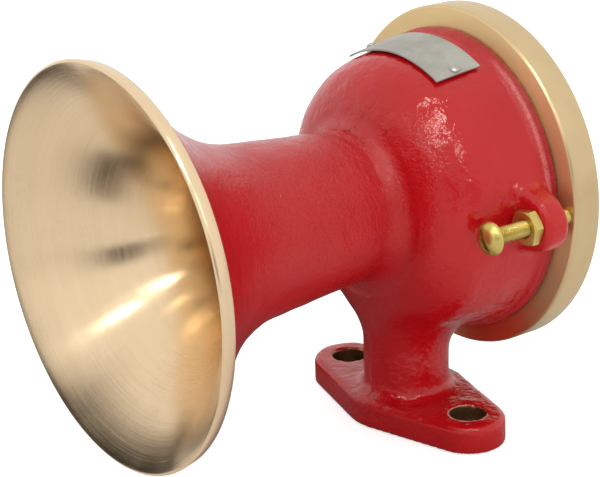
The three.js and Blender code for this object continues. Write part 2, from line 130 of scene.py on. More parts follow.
# Stem, port and foot
STEM_RADIUS = 13.1
STEM_LOW, STEM_HIGH = 3.0, 46.0
STEM_BLEND = 9.0
PORT_RADIUS = 8.55
PORT_TAPER = 0.45
PORT_DEPTH = 14.0
STRAINER_RADIUS = 7.3
STRAINER_GAP = 0.3
STRAINER_SEAT = 17.5
MESH_HOLE = 0.65
MESH_RINGS = ((0.0, 1), (2.1, 6), (4.3, 12))
SNAP_RING_INNER = 5.9
SNAP_RING_GAP = 1.5
PASSAGE_RADIUS = 5.8
PASSAGE_TOP = 44.3
FOOT_THICKNESS = 8.5
FOOT_MID_RADIUS = 18.8
FOOT_END_RADIUS = 11.2
FOOT_TOP_EDGE = 2.1
FOOT_LOW_EDGE = 0.7
FOOT_BLEND = 4.2
BOLT_OFFSET = 28.575
BOLT_HOLE_RADIUS = 5.55
BOLT_HOLE_OVERRUN = 4.0

# Marks of the casting mould
RIDGE_HEIGHT = 0.8
RIDGE_WIDTH = 1.2
RIDGE_REACH = 8.0
SEAM_HEIGHT = 0.35
SEAM_WIDTH = 0.9
SEAM_FADE = 8.0
WAVE_COUNT = 14
WAVE_HEIGHT = 0.22

# Ear, lock screw and nut
EAR_ROOT = 33.0
EAR_ROOT_RADIUS = 11.2
EAR_OFFSET = 47.8
EAR_RADIUS = 8.2
EAR_DROP = 1.2
EAR_FRONT = 109.7
EAR_BACK = 118.2
EAR_EDGE = 2.3
EAR_BLEND = 3.6
SCREW_HOLE_MIDDLE = 113.0
SCREW_HOLE_HALF = 6.0
SCREW_HOLE_GAP = 0.3
SCREW_RADIUS = 2.415
SCREW_PITCH = 25.4 / 32
SCREW_THREAD_DEPTH = 0.43
SCREW_HEAD_SEAT = 94.8
SCREW_HEAD_RADIUS = 4.85
SCREW_HEAD_HEIGHT = 3.4
SCREW_HEAD_RIM = 0.5
SLOT_WIDTH = 1.2
SLOT_DEPTH = 1.7
SLOT_ANGLE = 29.0
NUT_FLATS = 9.53
NUT_TURN = -10.0
NUT_CHAMFER = 28.0
NUT_FACE = 0.97
NUT_GAP = 0.08
NUT_COUNTERSINK = 1.5
PAD_ROUND = 0.7

# Cap and clamped stack
CAP_RADIUS = CAP_HIGH[0]
CAP_EDGE = 0.6
CAP_FRONT = 123.3
CAP_HOLLOW = 31.0
CAP_HOLLOW_DEPTH = 7.0
CAP_HOLLOW_CHAMFER = 1.6
CAP_RECESS_RADIUS = 24.0
CAP_RECESS_DEPTH = 1.0
CAP_PITCH = 25.4 / 16
CAP_THREAD_DEPTH = 0.85
BOSS_FRONT = 113.95
BOSS_RADIUS = THREAD_RADIUS - 0.3
BOSS_CHAMFER = 1.4
SPANNER_OFFSET = 34.0
SPANNER_RADIUS = 3.2
SPANNER_DEPTH = 5.0
SEAL_INNER = BOSS_RADIUS - 0.85
NOZZLE_BORE = 8.8
NOZZLE_CHAMFER = 1.4

# Nameplate
PLATE_HALF_ANGLE = 28.0
PLATE_FRONT_RADIUS = 42.3
PLATE_BACK_RADIUS = 44.7
PLATE_THICKNESS = 0.6
PLATE_RIPPLE = 0.07
PIN_ANGLE = 25.5
PIN_SHANK = 0.9
PIN_DEPTH = 4.0
PIN_HEAD = 1.5
PIN_DOME = 0.75


# ---- outlines: lists of (radius, station) ----


def flare(station):
    return max(0.0, FLARE_START - station) ** 2


def outer_radius(station):
    return TUBE_RADIUS + TUBE_TAPER * (TUBE_END - station) + FLARE_OUTER * flare(station)


def inner_radius(station):
    return TUBE_BORE_RADIUS + TUBE_BORE_TAPER * (TUBE_END - station) + FLARE_INNER * flare(station)


def arc(centre, radius, start, end, step=1.5):
    """Points on an arc. Angles are in degrees, from the radius axis towards the station axis."""
    count = max(2, int(abs(end - start) / step) + 1)
    angles = np.radians(np.linspace(start, end, count))
    return [(centre[0] + radius * math.cos(a), centre[1] + radius * math.sin(a)) for a in angles]


def soften(outline, radius, steps=3):
    """Rounds every real corner of a closed outline with an arc of at most the given radius."""
    points = [np.array(p, float) for p in outline]
    result = []
    for before, here, after in zip(points[-1:] + points[:-1], points, points[1:] + points[:1]):
        back, ahead = before - here, after - here
        length_back, length_ahead = np.linalg.norm(back), np.linalg.norm(ahead)
        cosine = float(np.dot(back, ahead) / (length_back * length_ahead))
        turn = math.pi - math.acos(max(-1.0, min(1.0, cosine)))
        if here[0] <= 1e-6 or turn < math.radians(20):
            result.append(tuple(here))
            continue
        trim = min(radius * math.tan(turn / 2), 0.4 * length_back, 0.4 * length_ahead)
        start = here + back / length_back * trim
        end = here + ahead / length_ahead * trim
        for i in range(steps + 1):
            t = i / steps
            result.append(tuple((1 - t) ** 2 * start + 2 * t * (1 - t) * here + t * t * end))
    return result


def bowl_front():
    """The tube's fillet and the bowl's shoulder."""
    centre_radius = outer_radius(CREASE_STATION) + TUBE_FILLET
    rise = centre_radius - SHOULDER_CENTRE
    apart = SHOULDER_RADIUS + TUBE_FILLET
    centre = (centre_radius, SHOULDER_STATION - math.sqrt(apart**2 - rise**2))
    tangent = math.degrees(math.asin(rise / apart))
    fillet = arc(centre, TUBE_FILLET, 180, 90 - tangent)
    shoulder = arc((SHOULDER_CENTRE, SHOULDER_STATION), SHOULDER_RADIUS, tangent - 90, -BOWL_SLOPE)
    return fillet + shoulder[1:]


def casting_outside():
    """The painted outside. It starts behind the bell's turned band, where the paint stands slightly proud."""
    stations = np.arange(BELL_BAND, TUBE_END + 0.01, 0.75)
    proud = PAINT_STEP * np.exp((BELL_BAND - stations) / PAINT_STEP_FADE)
    flank = [(outer_radius(s) + rise, s) for s, rise in zip(stations, proud)]
    front = bowl_front()
    slope = math.tan(math.radians(BOWL_SLOPE))
    cone_radius = front[-1][0] + (CONE_END - front[-1][1]) * slope
    hollow = arc((cone_radius + BEAD_HOLLOW, CONE_END - 0.05), BEAD_HOLLOW, 170, 90, 12)
    front_round = arc((LIP_RADIUS - BEAD_ROUND, BEAD_FRONT + BEAD_ROUND), BEAD_ROUND, -90, 0, 12)
    back_round = arc((LIP_RADIUS - LIP_ROUND, LIP_STATION - LIP_ROUND), LIP_ROUND, 0, 80, 20)
    return (
        [(PAST_AXIS, BELL_BAND), (flank[0][0] - 0.5, BELL_BAND)]
        + flank
        + front
        + hollow
        + front_round
        + back_round
        + [(LIP_RADIUS - 1.0, LIP_STATION), (PAST_AXIS, LIP_STATION)]
    )


def casting_bore():
    """The space for the liner, the nozzle, the clamped stack and the cap's boss."""
    front, wall = -2 * OVERRUN, LINER_WALL + LINER_GAP
    return (
        [(PAST_AXIS, front)]
        + [(inner_radius(s) + wall, s) for s in np.arange(front, TUBE_END + 0.01, 1.0)]
        + [
            (THROAT_RADIUS + wall, THROAT_STATION),
            (NOZZLE_POCKET_RADIUS, THROAT_STATION),
            (NOZZLE_POCKET_RADIUS, LEDGE_STATION),
            (THREAD_RADIUS, LEDGE_STATION),
            (THREAD_RADIUS, LIP_STATION - MOUTH_CHAMFER_DEPTH),
            (THREAD_RADIUS + MOUTH_CHAMFER_WIDTH, LIP_STATION + OVERRUN),
            (PAST_AXIS, LIP_STATION + OVERRUN),
        ]
    )


def casting_chamber():
    """The air chamber round the nozzle's wall."""
    corner = (CHAMBER_RADIUS - CHAMBER_ROUND, CHAMBER_FRONT + CHAMBER_ROUND)
    return [
        (NOZZLE_WALL_RADIUS, LEDGE_STATION + OVERRUN),
        (NOZZLE_WALL_RADIUS, CHAMBER_FRONT + NOZZLE_WALL_ROUND),
        (NOZZLE_WALL_RADIUS + NOZZLE_WALL_ROUND, CHAMBER_FRONT),
        *arc(corner, CHAMBER_ROUND, -90, 0, 6),
        (CHAMBER_RADIUS, LEDGE_STATION + OVERRUN),
    ]


# ---- meshes ----


def mesh_object(name, points_mm, faces, origin=Vector((0, 0, 0)), sharp=40.0):
    """A smooth-shaded object whose vertices are given in millimetres from its origin."""
    mesh = bpy.data.meshes.new(name)
    mesh.from_pydata((np.asarray(points_mm, float) * MM).tolist(), [], faces)
    mesh.validate()
    mesh.update()
    mesh.shade_smooth()
    if sharp:
        mesh.set_sharp_from_angle(angle=math.radians(sharp))
    obj = bpy.data.objects.new(name, mesh)
    obj.location = origin
    bpy.context.scene.collection.objects.link(obj)
    return obj


def turned(name, outline, segments, origin=HORN_AXIS, threads=None, sharp=40.0):
    """Turns an outline about the Y axis. Points on the axis become one vertex.

    threads is (first index, last index, pitch, depth): those rings are cut by a helical thread.
    """
    angles = np.linspace(0, 2 * math.pi, segments, endpoint=False)
    points, rings = [], []
    for index, (radius, station) in enumerate(outline):
        if radius <= 1e-6:
            rings.append([len(points)])
            points.append((0.0, station, 0.0))
            continue
        radii = np.full(segments, float(radius))
        if threads and threads[0] <= index <= threads[1]:
            _, _, pitch, depth = threads
            phase = (station / pitch + angles / (2 * math.pi)) % 1.0
            radii -= depth * np.clip(np.abs(2 * phase - 1) * 1.5 - 0.2, 0, 1)
        rings.append(list(range(len(points), len(points) + segments)))
        points.extend(zip(radii * np.cos(angles), np.full(segments, station), radii * np.sin(angles)))
    area = sum(a[0] * b[1] - b[0] * a[1] for a, b in zip(outline, outline[1:] + outline[:1]))
    faces = []
    pairs = list(zip(rings, rings[1:]))
    if len(rings[0]) > 1 and len(rings[-1]) > 1:
        pairs.append((rings[-1], rings[0]))
    for one, two in pairs:
        for i in range(segments):
            j = (i + 1) % segments
            if len(one) == 1:
                face = (one[0], two[i], two[j])
            elif len(two) == 1:
                face = (one[i], two[0], one[j])
            else:
                face = (one[i], two[i], two[j], one[j])
            faces.append(face if area > 0 else face[::-1])
    return mesh_object(name, points, faces, origin, sharp)


def apply_modifiers(obj):
    depsgraph = bpy.context.evaluated_depsgraph_get()
    mesh = bpy.data.meshes.new_from_object(obj.evaluated_get(depsgraph))
    obj.modifiers.clear()
    old = obj.data
    obj.data = mesh
    bpy.data.meshes.remove(old)


def combine(obj, tool, operation):
    """Applies a boolean with a tool object, then deletes the tool."""
    modifier = obj.modifiers.new("cut", "BOOLEAN")
    modifier.operation = operation
    modifier.solver = "EXACT"
    modifier.object = tool
    bpy.context.view_layer.update()
    apply_modifiers(obj)
    bpy.data.objects.remove(tool)


def combine_turned(obj, outline, segments, origin, operation="DIFFERENCE"):
    combine(obj, turned("tool", outline, segments, origin), operation)


def bevel(obj, width):
    modifier = obj.modifiers.new("edges", "BEVEL")
    modifier.width = width * MM
    modifier.segments = 2
    modifier.limit_method = "ANGLE"
    modifier.angle_limit = math.radians(30)
    apply_modifiers(obj)


def prism(name, outline_xz, front, back, origin):
    """A closed prism along Y. The outline goes anticlockwise as seen from -Y."""
    count = len(outline_xz)
    points = [(x, front, z) for x, z in outline_xz] + [(x, back, z) for x, z in outline_xz]
    faces = [tuple(range(count)), tuple(range(2 * count - 1, count - 1, -1))]
    for i in range(count):
        j = (i + 1) % count
        faces.append((j, i, i + count, j + count))
    return mesh_object(name, points, faces, origin, sharp=30.0)


# ---- the casting: a distance field made into a mesh ----


def outline_field(outline, step=0.25, margin=3.0):
    """Returns a function of radius and station: the signed distance to an outline, negative inside."""
    points = np.array(outline)
    low = points.min(0) - margin
    counts = (np.ceil((points.max(0) + margin - low) / step)).astype(int) + 1
    radius, station = np.meshgrid(*[low[i] + step * np.arange(counts[i]) for i in (0, 1)], indexing="ij")
    nearest = np.full(radius.shape, 1e9)
    inside = np.zeros(radius.shape, bool)
    for start, end in zip(points, np.roll(points, -1, 0)):
        edge = end - start
        length = float(edge @ edge)
        if length < 1e-12:
            continue
        dr, ds = radius - start[0], station - start[1]
        share = np.clip((dr * edge[0] + ds * edge[1]) / length, 0, 1)
        nearest = np.minimum(nearest, np.hypot(dr - share * edge[0], ds - share * edge[1]))
        if edge[1] != 0:
            spans = (start[1] > station) != (end[1] > station)
            inside ^= spans & (dr < ds * edge[0] / edge[1])
    table = np.where(inside, -nearest, nearest).astype(np.float32)

    def distance(r, s):
        u = np.clip((r - low[0]) / step, 0, counts[0] - 1.001)
        v = np.clip((s - low[1]) / step, 0, counts[1] - 1.001)
        i, j = u.astype(np.int32), v.astype(np.int32)
        u, v = u - i, v - j
        near = table[i, j] * (1 - v) + table[i, j + 1] * v
        far = table[i + 1, j] * (1 - v) + table[i + 1, j + 1] * v
        return near * (1 - u) + far * u

    return distance


def blend_min(a, b, size):
    """The lower of two fields, with a fillet where they meet."""
    near = np.maximum(size - np.abs(a - b), 0) / size
    return np.minimum(a, b) - near * near * size / 4


def tapered_bar(u, v, radius_start, radius_end, length):
    """Distance to two circles on the v axis and the tangents that join them."""
    u = np.abs(u)
    lean = (radius_start - radius_end) / length
    upright = math.sqrt(1 - lean * lean)
    along = -lean * u + upright * v
    side = upright * u + lean * v - radius_start
    start = np.hypot(u, v) - radius_start
    end = np.hypot(u, v - length) - radius_end
    return np.where(along < 0, start, np.where(along > upright * length, end, side))


def slab(flat, across, half, edge):
    """Extrudes a flat distance by half to each side of across = 0, with rounded edges."""
    a, b = flat + edge, np.abs(across) - half + edge
    return np.minimum(np.maximum(a, b), 0) + np.hypot(np.maximum(a, 0), np.maximum(b, 0)) - edge


OUTSIDE = outline_field(casting_outside())
BORE = outline_field(casting_bore())
CHAMBER = outline_field(casting_chamber())

WAVES = np.random.default_rng(5)
WAVE_VECTORS = WAVES.normal(size=(WAVE_COUNT, 3)) * 0.55
WAVE_PHASES = WAVES.uniform(0, 2 * math.pi, WAVE_COUNT)


def unevenness(x, y, z):
    """The slow waves of a sand-cast skin."""
    total = 0
    for vector, phase in zip(WAVE_VECTORS, WAVE_PHASES):
        total = total + np.sin(vector[0] * x + vector[1] * y + vector[2] * z + phase)
    return WAVE_HEIGHT * (total / WAVE_COUNT)


def crease_ridge(x, height, station):
    """The rough ridge that the mould left on top, where the tube meets the bowl."""
    across = (station - CREASE_STATION - 0.12 * x) / RIDGE_WIDTH
    ridge = np.exp(-(across**2) - ((x + 1.0) / RIDGE_REACH) ** 2) * np.clip(height / 10, 0, 1)
    return RIDGE_HEIGHT * ridge * (1 + 0.5 * np.sin(1.3 * x + 0.8))


def mould_seam(x, y, z):
    """The line that the mould's halves left down the stem's front."""
    near = np.clip((4.0 - y) / SEAM_FADE, 0, 1) * np.clip((STEM_HIGH - z) / SEAM_FADE, 0, 1)
    return SEAM_HEIGHT * near * np.exp(-((x / SEAM_WIDTH) ** 2))


def casting_field(x, y, z):
    station, height = y - RIM_Y, z - AXIS_Z
    radius, shaft = np.hypot(x, height), np.hypot(x, y)
    stem = np.maximum(shaft - STEM_RADIUS, np.maximum(z - STEM_HIGH, STEM_LOW - z))
    flat_foot = tapered_bar(y, np.abs(x), FOOT_MID_RADIUS, FOOT_END_RADIUS, BOLT_OFFSET)
    edge = np.where(z > FOOT_THICKNESS / 2, FOOT_TOP_EDGE, FOOT_LOW_EDGE)
    foot = slab(flat_foot, z - FOOT_THICKNESS / 2, FOOT_THICKNESS / 2, edge)
    length = EAR_OFFSET - EAR_ROOT
    droop = EAR_DROP * (EAR_OFFSET - x) / length
    flat_ear = tapered_bar(height - droop, x - EAR_ROOT, EAR_ROOT_RADIUS, EAR_RADIUS, length)
    ear = slab(flat_ear, station - (EAR_FRONT + EAR_BACK) / 2, (EAR_BACK - EAR_FRONT) / 2, EAR_EDGE)
    skin = blend_min(OUTSIDE(radius, station), ear, EAR_BLEND)
    skin = blend_min(skin, stem, STEM_BLEND)
    skin = skin - crease_ridge(x, height, station)
    skin = skin - mould_seam(x, y, z)
    skin = blend_min(skin, foot, FOOT_BLEND)
    skin = skin + unevenness(x, y, z) * np.clip((station - 6) / 20, 0.1, 1) * np.clip(z / 6, 0, 1)
    bolts = np.hypot(np.abs(x) - BOLT_OFFSET, y) - BOLT_HOLE_RADIUS
    screw = np.hypot(x - SCREW_X, height) - SCREW_RADIUS - SCREW_HOLE_GAP
    for cut in (
        BORE(radius, station),
        CHAMBER(radius, station),
        np.maximum(bolts, z - FOOT_THICKNESS - BOLT_HOLE_OVERRUN),
        np.maximum(shaft - PORT_RADIUS + PORT_TAPER * z / PORT_DEPTH, z - PORT_DEPTH),
        np.maximum(shaft - STRAINER_RADIUS - STRAINER_GAP, z - STRAINER_SEAT),
        np.maximum(shaft - PASSAGE_RADIUS, z - PASSAGE_TOP),
        np.maximum(screw, np.abs(station - SCREW_HOLE_MIDDLE) - SCREW_HOLE_HALF),
    ):
        skin = np.maximum(skin, -cut)
    return skin


def surface_net(field, low, high, step):
    """The zero surface of a field as quads, with one vertex for each grid cell that it crosses."""
    counts = np.ceil((high - low) / step).astype(int) + 1
    axes = [(low[i] + step * np.arange(counts[i])).astype(np.float32) for i in range(3)]
    values = np.empty(tuple(counts), np.float32)
    for i, x in enumerate(axes[0]):
        y, z = np.meshgrid(axes[1], axes[2], indexing="ij")
        values[i] = field(np.full_like(y, x), y, z)
    inside = values < 0
    total = np.zeros(tuple(counts - 1), np.uint8)
    for i, j, k in np.ndindex(2, 2, 2):
        total += inside[i : counts[0] - 1 + i, j : counts[1] - 1 + j, k : counts[2] - 1 + k]
    cells = np.argwhere((total > 0) & (total < 8))
    number = np.full(tuple(counts - 1), -1, np.int64)
    number[tuple(cells.T)] = np.arange(len(cells))
    sums, hits = np.zeros((len(cells), 3)), np.zeros(len(cells))
    for axis, a, b in np.ndindex(3, 2, 2):
        start = cells.copy()
        start[:, (axis + 1) % 3] += a
        start[:, (axis + 2) % 3] += b
        end = start.copy()
        end[:, axis] += 1
        first, last = values[tuple(start.T)], values[tuple(end.T)]
        crossed = (first < 0) != (last < 0)
        point = start.astype(float)
        point[:, axis] += np.where(crossed, first / np.where(crossed, first - last, 1), 0)
        sums[crossed] += point[crossed]
        hits += crossed
    points = low + step * sums / hits[:, None]
    quads = []
    for axis in range(3):
        u, v = (axis + 1) % 3, (axis + 2) % 3
        first = np.take(inside, np.arange(counts[axis] - 1), axis)
        last = np.take(inside, np.arange(1, counts[axis]), axis)
        edges = np.argwhere(first != last)
        inner = (edges[:, [u, v]] > 0) & (edges[:, [u, v]] < counts[[u, v]] - 1)
        edges = edges[inner.all(1)]
        outward = first[tuple(edges.T)]
        corners = []
        for du, dv in ((1, 1), (0, 1), (0, 0), (1, 0)):
            cell = edges.copy()
            cell[:, u] -= du
            cell[:, v] -= dv
            corners.append(number[tuple(cell.T)])
        quad = np.stack(corners, 1)
        quad[~outward] = quad[~outward][:, ::-1]
        quads.append(quad)
    return points, np.concatenate(quads)


def settle(points, field, rounds=3, limit=0.35):
    """Moves points onto the field's zero surface."""
    small = 0.05
    for _ in range(rounds):
        value = field(*points.T)
        rises = [field(*(points + step).T) - field(*(points - step).T) for step in np.eye(3) * small]
        slope = np.stack(rises, 1) / (2 * small)
        size = np.maximum((slope**2).sum(1), 0.05)
        points = points - np.clip(value / size, -limit, limit)[:, None] * slope
    return points


def make_casting():
    step = 0.75
    margin = 1.6
    low = np.array([HORN_LOW[0], RIM_Y + BELL_BAND, HORN_LOW[2]]) - margin
    high = HORN_HIGH + margin
    points, quads = surface_net(casting_field, low, high, step)
    points = settle(points, casting_field)
    return mesh_object("red_casting", points, quads.tolist(), sharp=None)


# ---- shaders ----


class Wire:
    """A value in a shader that arithmetic works on."""

    def __init__(self, shader, socket):
        self.shader = shader
        self.socket = socket

    def __add__(self, other):
        return self.shader.math("ADD", self, other)

    def __sub__(self, other):
        return self.shader.math("SUBTRACT", self, other)

    def __mul__(self, other):
        return self.shader.math("MULTIPLY", self, other)

    def most(self, other):
        return self.shader.math("MAXIMUM", self, other)


class Nodes:
    """Short calls that add nodes to a shader tree. Each gives a Wire."""

    def __init__(self, tree):
        self.tree = tree

    def feed(self, socket, value):
        if isinstance(value, Wire):
            self.tree.links.new(value.socket, socket)
        elif value is not None:
            socket.default_value = value

    def node(self, kind, inputs=None, output=0, **settings):
        """Adds a node with its settings and inputs. Inputs and the output go by number or name."""
        made = self.tree.nodes.new("ShaderNode" + kind)
        for key, value in settings.items():
            setattr(made, key, value)
        for key, value in (inputs or {}).items():
            self.feed(made.inputs[key], value)
        return Wire(self, made.outputs[output])

    def math(self, operation, a, b=None):
        return self.node("Math", {0: a, 1: b}, operation=operation)

    def length(self, a, b):
        return self.math("SQRT", a * a + b * b)

    def fade(self, value, low, high, start=0.0, end=1.0):
        """A smooth step from start to end as value goes from low to high."""
        inputs = {0: value, 1: low, 2: high, 3: start, 4: end}
        return self.node("MapRange", inputs, interpolation_type="SMOOTHSTEP")

    def fade_mm(self, value, low, high):
        """A smooth step from 0 to 1 as a length in metres goes from low to high in millimetres."""
        return self.fade(value, low * MM, high * MM)


class Shader(Nodes):
    """A node material. Positions are in metres from the object's origin."""

    def __init__(self, name):
        self.material = bpy.data.materials.new(name)
        self.material.use_nodes = True
        super().__init__(self.material.node_tree)
        self.place = self.node("TexCoord", output="Object")

    def axes(self):
        outputs = self.node("SeparateXYZ", {0: self.place}).socket.node.outputs
        return [Wire(self, output) for output in outputs]

    def around_axis(self):
        """Radius from the object's Y axis, station, and turn from 0 to 1."""
        x, y, z = self.axes()
        return self.length(x, z), y, self.math("ARCTAN2", z, x) * (0.5 / math.pi)

    def stretched(self, scale):
        return self.node("Mapping", {"Vector": self.place, "Scale": scale})

    def noise(self, scale, detail=2.0, roughness=0.5, vector=None):
        inputs = {"Vector": vector or self.place, "Scale": scale, "Detail": detail, "Roughness": roughness}
        return self.node("TexNoise", inputs)

    def cells(self, scale):
        return self.node("TexVoronoi", {"Vector": self.place, "Scale": scale}, "Distance", feature="F1")

    def mix(self, share, a, b):
        """Mixes two colours."""
        return self.node("Mix", {0: share, 6: a, 7: b}, 2, data_type="RGBA")

    def blend(self, share, a, b):
        """Mixes two numbers."""
        return self.node("Mix", {0: share, 2: a, 3: b}, data_type="FLOAT")

    def bump(self, height, distance_mm, strength):
        return self.node("Bump", {"Strength": strength, "Distance": distance_mm * MM, "Height": height})

    def edges(self, low, high):
        """1 along convex edges."""
        return self.fade(self.node("NewGeometry", output="Pointiness"), low, high)

    def surface(self, **values):
        """Sets the surface's inputs and gives the material."""
        inputs = self.tree.nodes["Principled BSDF"].inputs
        for name, value in values.items():
            self.feed(inputs[name.replace("_", " ")], value)
        return self.material


def red_enamel():
    """Glossy brushed-on enamel over a sand casting, with bare bronze in the bores and on machined faces."""
    s = Shader("red_enamel_paint")
    x, y, z = s.axes()
    station = y - RIM_Y * MM
    up = z - AXIS_Z * MM
    side = s.math("ABSOLUTE", x)
    radius = s.length(x, up)
    shaft = s.length(x, y)
    bolt = s.length(side - BOLT_OFFSET * MM, y)
    ragged = s.noise(500, 2.0) * 0.0004

    # Relief: lumps, orange peel, sand grain on the tube and the lip, brush marks near the bell and the bowl
    sandy = s.fade_mm(station, 98, 80) + s.fade_mm(station, 117.5, 119)
    near_bell = s.fade_mm(station, 45, 15)
    near_bowl = s.fade_mm(station, 68, 74) * s.fade_mm(station, 84, 80) * s.fade_mm(z, 80, 88)
    lumps = s.noise(170, 2.0, 0.5) * 0.8
    peel = s.noise(560, 2.0, 0.5) * 0.6
    grain = s.noise(1700, 2.0, 0.55) * (sandy * 0.75 + 0.04)
    brushed = s.noise(300, 3.0, 0.6, s.stretched((0.25, 1.8, 0.25))) * (near_bell.most(near_bowl) * 0.7)

    # Paint: darker sand grains, a purple cast on the bead, a painted highlight along the bead's front edge,
    # pits, worn edges
    paint = s.mix(s.noise(60, 3.0, 0.5), (0.48, 0.003, 0.008, 1), (0.57, 0.007, 0.011, 1))
    sand = s.fade(s.noise(1500, 2.0, 0.6), 0.50, 0.68) * sandy
    paint = s.mix(sand * 0.25, paint, (0.20, 0.002, 0.006, 1))
    bead = s.fade_mm(station, 119.8, 120.4) * s.fade(s.noise(700, 2.0), 0.30, 0.60, 0.35, 0.85)
    paint = s.mix(bead, paint, (0.36, 0.006, 0.030, 1))
    pitted = s.fade_mm(station, 81.2, 82) * s.fade_mm(station, 85.2, 84.2)
    pitted = pitted * s.fade_mm(up, 19, 23) * s.fade_mm(side, 18, 12)
    pits = s.fade(s.cells(800), 0.38, 0.20) * s.fade(s.noise(330, 2.0), 0.42, 0.52) * pitted
    paint = s.mix(pits * 0.9, paint, (0.06, 0.003, 0.005, 1))
    # Painted highlight: a pale broken streak on the bead's upper front edge, where a lamp's reflection falls
    line = s.fade_mm(station, 119.2, 119.7) * s.fade_mm(station, 120.8, 120)
    line = line * s.fade_mm(up, -2, 12) * s.fade_mm(x, 19, 26)
    line = line * s.fade(s.noise(2400, 2.0), 0.38, 0.58, 0.25, 1.0)
    paint = s.mix(line * 0.6, paint, (0.80, 0.26, 0.24, 1))
    worn = s.edges(0.56, 0.68) * s.fade(s.noise(300, 2.0), 0.5, 0.65)
    paint = s.mix(worn * 0.35, paint, (0.62, 0.10, 0.07, 1))

    # Bare metal: bolt holes, air port, bowl, air chamber, lip and the foot's underside
    in_hole = s.fade_mm(bolt + ragged, 5.90, 5.82) * s.fade_mm(z, 11.5, 11)
    in_stem = s.fade_mm(shaft, 10.1, 10) * s.fade_mm(z, 46, 45.5)
    in_bowl = s.fade_mm(radius, 39.3, 39.1) * s.fade_mm(station, 107, 107.3)
    in_chamber = s.fade_mm(radius, 31.6, 31.5) * s.fade_mm(station, 89.5, 89.8)
    lip = s.fade_mm(station + ragged, LIP_STATION - 0.1, LIP_STATION + 0.05) * s.fade_mm(z, 18, 22)
    under = s.fade_mm(z + ragged, 0.6, 0.4)
    bare = in_hole.most(in_stem).most(in_bowl).most(in_chamber).most(lip).most(under)
    metal = s.mix(s.noise(900, 3.0, 0.6), (0.30, 0.19, 0.09, 1), (0.52, 0.36, 0.18, 1))
    return s.surface(
        Base_Color=s.mix(bare, paint, metal),
        Metallic=bare,
        Roughness=s.blend(bare, s.fade(s.noise(140, 3.0), 0.3, 0.7, 0.06, 0.11), 0.38),
        Specular_Tint=(1.0, 0.94, 0.84, 1),
        Normal=s.bump(lumps + peel + grain + brushed, 0.5, 0.8),
    )


def turned_bronze(name, light, dark, roughness, grooves, anisotropy, stain, satin_front=False):
    """Bronze turned on a lathe: fine rings about the object's Y axis, with faint stains.

    satin_front gives the cap's front face a paler, duller finish.
    """
    s = Shader(name)
    radius, station, turn = s.around_axis()
    across = s.node("CombineXYZ", {0: radius, 1: station, 2: turn * 0.002})
    rings = s.noise(grooves, 3.0, 0.7, across)
    broad = s.noise(320, 2.0, 0.5, across)
    cloud = s.noise(42, 3.0, 0.55)
    spots = s.noise(420, 2.0, 0.6)
    colour = s.mix(s.fade(cloud * 0.7 + broad * 0.3, 0.3, 0.72), dark, light)
    tarnish = s.fade(cloud + spots * 0.25, 0.62, 0.86) * stain
    colour = s.mix(tarnish, colour, (dark[0] * 0.75, dark[1] * 0.62, dark[2] * 0.5, 1))
    sheen = s.fade(rings * 0.5 + cloud * 0.5, 0.3, 0.7, roughness - 0.05, roughness + 0.06)
    if satin_front:
        front = s.fade_mm(station, CAP_FRONT + 0.3, CAP_FRONT + 0.1)
        colour = s.mix(front, colour, (0.80, 0.60, 0.31, 1))
        sheen = sheen + front * 0.14
    return s.surface(
        Base_Color=colour,
        Metallic=1.0,
        Roughness=sheen,
        Anisotropic=anisotropy,
        Anisotropic_Rotation=0.25,
        Tangent=s.node("Tangent", direction_type="RADIAL", axis="Y"),
        Normal=s.bump(rings, 0.03, 0.6),
    )


def plain_metal(name, light, dark, roughness):
    """Machined metal with a fine grain and edges worn bright."""
    s = Shader(name)
    fine = s.noise(900.0, 3.0, 0.65)
    cloud = s.noise(150, 3.0, 0.55)
    colour = s.mix(s.fade(cloud * 0.6 + fine * 0.4, 0.3, 0.7), dark, light)
    colour = s.mix(s.edges(0.51, 0.6) * 0.25, colour, tuple(min(1, c * 1.25) for c in light[:3]) + (1,))
    return s.surface(
        Base_Color=colour,
        Metallic=1.0,
        Roughness=s.fade(fine, 0.3, 0.7, roughness - 0.06, roughness + 0.08),
        Normal=s.bump(fine, 0.02, 0.5),
    )


def satin_plate():
    """A thin grey plate with a rolled grain along X."""
    s = Shader("satin_grey_plate")
    grain = s.noise(1400, 3.0, 0.6, s.stretched((0.06, 1.0, 0.4)))
    cloud = s.noise(110, 3.0, 0.55)
    speck = s.noise(900, 2.0, 0.5)
    colour = s.mix(s.fade(cloud, 0.35, 0.65), (0.38, 0.37, 0.32, 1), (0.46, 0.45, 0.40, 1))
    colour = s.mix(s.fade(speck, 0.62, 0.75) * 0.4, colour, (0.25, 0.24, 0.21, 1))
    return s.surface(
        Base_Color=colour,
        Metallic=0.55,
        Roughness=s.fade(grain, 0.3, 0.7, 0.42, 0.6),
        Normal=s.bump(grain * 0.6 + cloud * 0.4, 0.05, 0.6),
    )


def matte_sheet(name, light, dark, roughness, scale, depth_mm):
    """Pressed fibre or rubber: a fine matte tooth."""
    s = Shader(name)
    tooth = s.noise(scale, 3.0, 0.65)
    cloud = s.noise(scale / 12, 2.0)
    return s.surface(
        Base_Color=s.mix(cloud * 0.5 + tooth * 0.5, dark, light),
        Roughness=s.fade(tooth, 0.3, 0.7, roughness - 0.08, roughness + 0.08),
        Normal=s.bump(tooth, depth_mm, 0.6),
    )


def finish(obj, material, body, slot, *nodes):
    """Gives a piece its material and its body, and hides the nodes that it stands for. slot is not used."""
    obj.data.materials.clear()
    obj.data.materials.append(material)
    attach(obj, body)
    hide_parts(*nodes)


# ---- pieces ----


